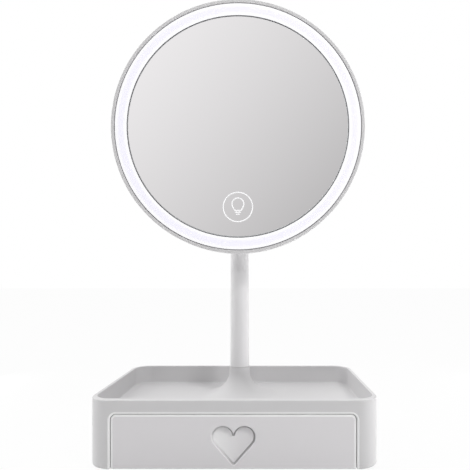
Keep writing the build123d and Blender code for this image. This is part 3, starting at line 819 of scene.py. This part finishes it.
class VANITY_OT_dress_head(bpy.types.Operator):
    """Finish the mirror's shell and what is inside it"""

    bl_idname = "vanity.dress_head"
    bl_label = "Dress the Mirror Head"

    def execute(self, context):
        look = context.scene.vanity_finishes
        dress(moulded_abs("ABS_satin_white_cover", look.housing, *SATIN), "rear_cover")
        dress(moulded_abs("ABS_plain_white_carrier", look.inner, *PLAIN), "glass_carrier")
        board = textured_solid("Board_white_mask", linear("#E9EAE6"), 0.8, 0.004, 0.06, 0.4)
        dress(board, "led_board", "control_board")
        phosphor = textured_solid("Phosphor_yellow", linear("#F3E08A"), 0.3, 0.004, 0.15, 0.45)
        dress(phosphor, "led_chips")
        foam = textured_solid("Foam_conductive", linear("#3A3A3A"), 0.7, 0.1, 0.5, 0.95)
        dress(foam, "touch_pad")
        dress(pouch_foil("Foil_pouch_cell"), "battery")
        dress(zinc_plate("Zinc_plate_head", look.zinc), "rear_cover_screws", "charge_socket")
        return {"FINISHED"}


class VANITY_OT_dress_hinge(bpy.types.Operator):
    """Finish the hinge between stem and head"""

    bl_idname = "vanity.dress_hinge"
    bl_label = "Dress the Hinge"

    def execute(self, context):
        look = context.scene.vanity_finishes
        dress(powder_coat("Powder_coat_white_bracket", look.metal_paint), "hinge_bracket")
        zinc = zinc_plate("Zinc_plate_hinge", look.zinc)
        dress(zinc, "hinge_bracket_screws", "hinge_bolt", "hinge_nut")
        nylon = textured_solid("Nylon_natural", linear("#E3E1D8"), 2.0, 0.004, 0.05, 0.4)
        dress(nylon, "hinge_washers")
        return {"FINISHED"}


class VANITY_OT_bezel(bpy.types.Operator):
    """Build the bezel: a narrow face, a rounded outer edge and a skirt, turned about the axis"""

    bl_idname = "vanity.bezel"
    bl_label = "Bezel"

    def execute(self, context):
        head = context.scene.vanity_head
        look = context.scene.vanity_finishes
        low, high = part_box("front_ring")
        outer = high.x
        face = outer - head.ring_face
        edge = outer - head.ring_round
        turn = low.y + head.ring_round
        soft = head.edge_round
        lip = low.y + head.lip
        skirt = outer - head.skirt
        tongue = outer - head.rebate_wall
        step = high.y - head.rebate
        profile = np.vstack(
            [
                [(face, lip), (face, low.y + soft)],
                rounded((face, low.y + soft), (face + soft, low.y + soft), (face + soft, low.y), 2),
                [(face + soft, low.y), (edge, low.y)],
                rounded((edge, low.y), (edge, turn), (outer, turn), 8),
                [(outer, turn), (outer, high.y), (tongue, high.y)],
                [(tongue, step), (skirt, step), (skirt, lip)],
            ]
        )
        points, faces = turned(profile)
        material = moulded_abs("ABS_satin_white_bezel", look.housing, *SATIN_RING)
        piece = mesh_piece(
            "bezel", points, faces.tolist(), material, "mirror_head"
        )
        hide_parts("front_ring")
        return {"FINISHED"}


class VANITY_OT_light_ring(bpy.types.Operator):
    """Build the light ring: frosted acrylic with a flange behind the bezel, turned about the axis.

    Its front is a parabola from edge to edge: at share t of the width it stands 4 t (1 - t) of the
    crown's height ahead of the edges.
    """

    bl_idname = "vanity.light_ring"
    bl_label = "Light Ring"

    def execute(self, context):
        head = context.scene.vanity_head
        look = context.scene.vanity_finishes
        low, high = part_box("light_diffuser")
        inner = GLASS_HIGH.x + head.light_gap
        outer = inner + head.light_width
        soft = head.edge_round
        start, end = inner + soft, outer - soft
        shoulder = low.y + head.crown
        side = shoulder + soft
        back = shoulder + head.light_depth
        lip = high.y - head.flange
        share = np.linspace(0, 1, 15)
        bulge = (shoulder - low.y) * 4 * share * (1 - share)
        crown = np.stack([start + (end - start) * share, shoulder - bulge], axis=1)
        profile = np.vstack(
            [
                [(inner, back), (inner, side)],
                rounded((inner, side), (start, side), (start, shoulder), 2),
                crown,
                rounded((end, shoulder), (end, side), (outer, side), 2),
                [(outer, side), (outer, lip), (high.x, lip), (high.x, high.y), (outer, high.y)],
                [(outer - head.flange, back)],
            ]
        )
        points, faces = turned(profile)
        material = lit_acrylic("Acrylic_frosted_lit", look, head)
        piece = mesh_piece(
            "light_ring", points, faces.tolist(), material, "mirror_head"
        )
        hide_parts("light_diffuser")
        return {"FINISHED"}


class VANITY_OT_mirror(bpy.types.Operator):
    """Build the mirror glass: a flat face with a ground bevel round it, turned about the axis"""

    bl_idname = "vanity.mirror"
    bl_label = "Mirror Glass"

    def execute(self, context):
        head = context.scene.vanity_head
        look = context.scene.vanity_finishes
        outer, front, back = GLASS_HIGH.x, GLASS_LOW.y, GLASS_HIGH.y
        clear = outer - head.bevel
        # Rings of points from halfway across the face, over the bevel, to halfway across the back
        profile = [
            (clear / 2, front),
            (clear, front),
            (outer, front + head.bevel),
            (outer, back),
            (clear / 2, back),
        ]
        points, faces = turned(profile)
        ring = len(profile)
        faces = faces.reshape(-1, ring, 4)[:, :-1].reshape(-1, 4)
        segments = len(points) // ring
        points = np.vstack([points, [[0.0, front, AXIS_Z], [0.0, back, AXIS_Z]]])
        here = np.arange(segments) * ring
        there = np.roll(here, -1)
        middle = np.full(segments, segments * ring)
        face_cap = np.stack([middle, there, here], axis=1)
        back_cap = np.stack([middle + 1, here + ring - 1, there + ring - 1], axis=1)
        faces = faces.tolist() + face_cap.tolist() + back_cap.tolist()
        material = silvered_glass("Glass_silvered", look.glass, look.ground, head.bevel)
        piece = mesh_piece("mirror_face", points, faces, material, "mirror_head", 20.0)
        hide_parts("mirror_glass")
        return {"FINISHED"}


def flat_bar(path, width, front, back, closed=False):
    """Flat bar along a path in the XZ plane.

    Each point of the path is moved half the width to either side, along the normal of the line
    through its neighbours, once at the front depth and once at the back depth: four rails, which
    make a closed bar with square edges. An open path gets a cap at each end.
    """
    path = np.asarray(path, float)
    if closed:
        along = np.roll(path, -1, axis=0) - np.roll(path, 1, axis=0)
    else:
        along = np.gradient(path, axis=0)
    along /= np.linalg.norm(along, axis=1, keepdims=True)
    side = np.stack([-along[:, 1], along[:, 0]], axis=1) * width / 2
    corners = np.stack([path + side, path - side, path - side, path + side], axis=1)
    depth = np.broadcast_to(np.array([front, front, back, back]), corners.shape[:2])
    points = np.stack([corners[..., 0], depth, corners[..., 1]], axis=-1).reshape(-1, 3)
    faces = grid_faces(len(path), 4, close_rows=closed, close_columns=True)
    if not closed:
        last = 4 * (len(path) - 1)
        faces = np.vstack([faces, [[0, 3, 2, 1]], [[last, last + 1, last + 2, last + 3]]])
    return points, faces


def bulb_outline(globe, lift, neck, foot):
    """Closed outline of a light bulb.

    A circle of the globe's radius about a point lifted above the icon's centre, from 32 degrees
    below the level on one side to the same on the other. Each side goes on down to an end of the
    neck: its height falls evenly, and its width as 0.35 of the curve 3 t^2 - 2 t^3 and 0.65 of t.
    """
    below, easing = 32, 0.35
    angle = np.radians(np.linspace(-below, 180 + below, 60))
    top = np.stack([globe * np.cos(angle), lift + globe * np.sin(angle)], axis=1)
    share = np.linspace(0, 1, 14)[1:, None]
    ease = share * share * (3 - 2 * share)
    narrowing = ease * easing + share * (1 - easing)
    end = np.array([-neck, foot])
    left = top[-1] + (end - top[-1]) * np.hstack([narrowing, share])
    right = left[::-1] * [-1, 1]
    return np.vstack([top, left, right[:-1]])


class VANITY_OT_touch_icon(bpy.types.Operator):
    """Add the touch switch's sign on the glass: a light bulb in a ring"""

    bl_idname = "vanity.touch_icon"
    bl_label = "Touch Icon"

    def execute(self, context):
        sign = context.scene.vanity_head
        centre = np.array([0.0, AXIS_Z - sign.icon_drop])
        front = GLASS_LOW.y - sign.icon_relief
        back = GLASS_LOW.y + sign.icon_relief
        line = sign.icon_line
        turn = np.radians(np.arange(0, 360, 2.5))
        ring = sign.icon_radius * np.stack([np.cos(turn), np.sin(turn)], axis=1)
        bulb = bulb_outline(globe=4.7 * MM, lift=2.45 * MM, neck=2.6 * MM, foot=-2.75 * MM)
        parts = [
            flat_bar(centre + ring, line, front, back, closed=True),
            flat_bar(centre + bulb, line, front, back, closed=True),
        ]
        # Two short bars below the bulb for its cap
        for half, drop in ((2.3 * MM, 4.2 * MM), (1.55 * MM, 5.75 * MM)):
            bar = np.stack([np.linspace(-half, half, 3), np.full(3, -drop)], axis=1)
            parts.append(flat_bar(centre + bar, line, front, back))
        starts = np.cumsum([0] + [len(points) for points, _ in parts[:-1]])
        points = np.vstack([points for points, _ in parts])
        faces = np.vstack([faces + start for (_, faces), start in zip(parts, starts)])
        material = lit_print("Print_lit_white")
        mesh_piece(
            "touch_icon", points, faces.tolist(), material, "mirror_head", 30.0
        )
        return {"FINISHED"}


class VANITY_OT_stage(bpy.types.Operator):
    """Set the camera, the pale floor, the tent of soft light and the lamps"""

    bl_idname = "vanity.stage"
    bl_label = "Stage"

    def execute(self, context):
        studio = context.scene.vanity_studio
        place_camera(context.scene, studio)
        make_floor()
        make_tent(context.scene, studio)
        low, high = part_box("base_housing")
        front = (0.0, low.y, (low.z + high.z) / 2)
        front_foot = (0.0, low.y, 0.02)
        middle = (0.0, 0.0, 0.03)
        softbox, small_box, strip = (0.15, 0.15), (0.12, 0.05), (0.36, 0.05)
        for name, watts, size, place, aim in (
            ("front_softbox", studio.top_box, softbox, (0.0, -0.76, 0.73), front),
            ("high_right_softbox", studio.high_right, softbox, (0.45, -0.45, 0.80), front),
            ("right_raking_lamp", studio.rake_right, small_box, (0.45, -0.12, 0.03), front_foot),
            ("left_strip", studio.low_left, strip, (-0.36, 0.05, 0.03), middle),
            ("right_strip", studio.low_right, strip, (0.36, 0.05, 0.03), middle),
        ):
            add_lamp(name, watts, size, place, aim)
        context.scene.view_settings.view_transform = "Standard"
        return {"FINISHED"}


def place_camera(scene, studio):
    """A level camera in front of the mirror, a little to the right, shifted up to frame it."""
    base_low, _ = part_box("base_housing")
    camera = bpy.data.cameras.new("studio_camera")
    camera.sensor_width = 36.0
    camera.lens = studio.lens
    camera.shift_x = -VIEW_LEFT / VIEW_PIXELS
    camera.shift_y = VIEW_UP / VIEW_PIXELS
    camera.clip_start = 0.01
    camera.clip_end = 50.0
    holder = bpy.data.objects.new("studio_camera", camera)
    holder.location = (
        studio.camera_side,
        base_low.y - studio.camera_distance,
        studio.camera_height,
    )
    holder.rotation_euler = (math.pi / 2, 0.0, 0.0)
    scene.collection.objects.link(holder)
    scene.camera = holder


def make_floor():
    """A wide floor of white paper that takes a shadow; camera and mirrors see it paler."""
    half = 6.0
    white_share = 0.95
    corners = [[-half, -half, 0], [half, -half, 0], [half, half, 0], [-half, half, 0]]
    mesh = bpy.data.meshes.new("studio_floor")
    mesh.from_pydata(corners, [], [[0, 1, 2, 3]])
    floor = bpy.data.objects.new("studio_floor", mesh)
    bpy.context.scene.collection.objects.link(floor)
    material = bpy.data.materials.new("Floor_white_paper")
    material.use_nodes = True
    tree = material.node_tree
    tree.nodes.clear()
    paper = add_node(tree, "ShaderNodeBsdfDiffuse", None, {"Color": linear("#E2E2E2")})
    glow = add_node(tree, "ShaderNodeEmission", None, {"Color": (1, 1, 1, 1), "Strength": 1.0})
    path = add_node(tree, "ShaderNodeLightPath")
    mirror = add_node(
        tree,
        "ShaderNodeMath",
        {"operation": "MAXIMUM"},
        {0: path.outputs["Is Glossy Ray"], 1: path.outputs["Is Transmission Ray"]},
    )
    seen = add_node(
        tree,
        "ShaderNodeMath",
        {"operation": "MAXIMUM"},
        {0: path.outputs["Is Camera Ray"], 1: mirror.outputs[0]},
    )
    share = add_node(
        tree, "ShaderNodeMath", {"operation": "MULTIPLY"}, {0: seen.outputs[0], 1: white_share}
    )
    mix = add_node(
        tree,
        "ShaderNodeMixShader",
        None,
        {0: share.outputs[0], 1: paper.outputs["BSDF"], 2: glow.outputs["Emission"]},
    )
    add_node(tree, "ShaderNodeOutputMaterial", None, {"Surface": mix.outputs["Shader"]})
    mesh.materials.append(material)


def make_tent(scene, studio):
    """A tent of soft light.

    Wide soft panels each fade with the fourth power of the cosine from their middle. Mirrors see a
    plain studio in front of them, brighter to the upper left, and the camera sees plain white.
    """
    world = bpy.data.worlds.new("studio_tent")
    scene.world = world
    world.use_nodes = True
    tree = world.node_tree
    tree.nodes.clear()
    way = add_node(tree, "ShaderNodeTexCoord").outputs["Generated"]
    split = add_node(tree, "ShaderNodeSeparateXYZ", None, {"Vector": way})
    corner, edge = 3**-0.5, 2**-0.5
    fade_power = 4.0
    # What mirrors see in front of them, from the lower right to the upper left
    dim, bright = 0.27, 1.12
    lobes = (
        ((-1.0, 0.0, 0.0), studio.left),
        ((1.0, 0.0, 0.0), studio.right),
        ((0.0, 0.0, 1.0), studio.above),
        ((-edge, edge, 0.0), studio.left_back),
        ((-corner, corner, corner), studio.left_high),
        ((edge, edge, 0.0), studio.right_back),
    )
    total = 0.0
    for way_to, strength in lobes:
        facing = add_node(
            tree, "ShaderNodeVectorMath", {"operation": "DOT_PRODUCT"}, {0: way, 1: way_to}
        )
        bare = add_node(
            tree, "ShaderNodeMath", {"operation": "MAXIMUM"}, {0: facing.outputs["Value"], 1: 0.0}
        )
        fade = add_node(
            tree, "ShaderNodeMath", {"operation": "POWER"}, {0: bare.outputs[0], 1: fade_power}
        )
        total = add_node(
            tree,
            "ShaderNodeMath",
            {"operation": "MULTIPLY_ADD"},
            {0: fade.outputs[0], 1: strength, 2: total},
        ).outputs[0]
    lean = add_node(
        tree,
        "ShaderNodeMath",
        {"operation": "SUBTRACT"},
        {0: split.outputs["Z"], 1: split.outputs["X"]},
    )
    ahead = add_node(
        tree,
        "ShaderNodeMapRange",
        None,
        {
            "Value": lean.outputs[0],
            "From Min": -0.5,
            "From Max": 1.0,
            "To Min": dim,
            "To Max": bright,
        },
    )
    turn = add_node(
        tree,
        "ShaderNodeMapRange",
        {"interpolation_type": "SMOOTHSTEP"},
        {"Value": split.outputs["Y"], "From Min": -0.2, "From Max": 0.5},
    )
    room = add_node(
        tree,
        "ShaderNodeMix",
        {"data_type": "FLOAT"},
        {0: turn.outputs["Result"], 2: ahead.outputs["Result"], 3: 1.0},
    )
    path = add_node(tree, "ShaderNodeLightPath")
    gleam = add_node(
        tree,
        "ShaderNodeMix",
        {"data_type": "FLOAT"},
        {0: path.outputs["Is Glossy Ray"], 2: total, 3: room.outputs[0]},
    )
    seen = add_node(
        tree,
        "ShaderNodeMath",
        {"operation": "MAXIMUM"},
        {0: path.outputs["Is Camera Ray"], 1: path.outputs["Is Transmission Ray"]},
    )
    shown = add_node(
        tree,
        "ShaderNodeMix",
        {"data_type": "FLOAT"},
        {0: seen.outputs[0], 2: gleam.outputs[0], 3: 1.0},
    )
    light = add_node(
        tree,
        "ShaderNodeBackground",
        None,
        {"Color": (1, 1, 1, 1), "Strength": shown.outputs[0]},
    )
    add_node(tree, "ShaderNodeOutputWorld", None, {"Surface": light.outputs["Background"]})


def add_lamp(name, watts, size, place, aim):
    """A rectangular softbox at a place, turned to face a point and not seen itself."""
    lamp = bpy.data.lights.new(name, "AREA")
    lamp.shape = "RECTANGLE"
    lamp.size, lamp.size_y = size
    lamp.energy = watts
    holder = bpy.data.objects.new(name, lamp)
    x, y, z = (t - p for p, t in zip(place, aim))
    holder.location = place
    holder.rotation_euler = (math.atan2(math.hypot(x, y), -z), 0.0, math.atan2(y, x) - math.pi / 2)
    holder.visible_camera = False
    holder.visible_glossy = False
    bpy.context.scene.collection.objects.link(holder)


# ---- Panel and registration ----------------------------------------------------------------------

STEPS = (
    VANITY_OT_dress_base,
    VANITY_OT_dress_drawer,
    VANITY_OT_dress_head,
    VANITY_OT_dress_hinge,
    VANITY_OT_bezel,
    VANITY_OT_light_ring,
    VANITY_OT_mirror,
    VANITY_OT_touch_icon,
    VANITY_OT_stage,
)

GROUPS = {
    "vanity_finishes": VANITY_PG_finishes,
    "vanity_head": VANITY_PG_head,
    "vanity_front": VANITY_PG_front,
    "vanity_studio": VANITY_PG_studio,
}


class VANITY_PT_panel(bpy.types.Panel):
    """Lists the steps, sizes and colours in the sidebar"""

    bl_idname = "VANITY_PT_panel"
    bl_label = "Vanity Mirror"
    bl_space_type = "VIEW_3D"
    bl_region_type = "UI"
    bl_category = "Vanity Mirror"

    def draw(self, context):
        for step in STEPS:
            self.layout.operator(step.bl_idname)
        for name, group in GROUPS.items():
            box = self.layout.box()
            for key in group.__annotations__:
                box.prop(getattr(context.scene, name), key)


def register():
    """Register the classes and hang each property group on the scene."""
    for cls in (*GROUPS.values(), *STEPS, VANITY_PT_panel):
        bpy.utils.register_class(cls)
    for name, group in GROUPS.items():
        setattr(bpy.types.Scene, name, bpy.props.PointerProperty(type=group))


def unregister():
    """Take back what register() did, in reverse."""
    for name in GROUPS:
        delattr(bpy.types.Scene, name)
    for cls in reversed((*GROUPS.values(), *STEPS, VANITY_PT_panel)):
        bpy.utils.unregister_class(cls)


def main():
    """Register and run every step in order."""
    register()
    for step in STEPS:
        getattr(bpy.ops.vanity, step.bl_idname.split(".")[1])()
    bpy.context.view_layer.update()


if __name__ == "__main__":
    main()
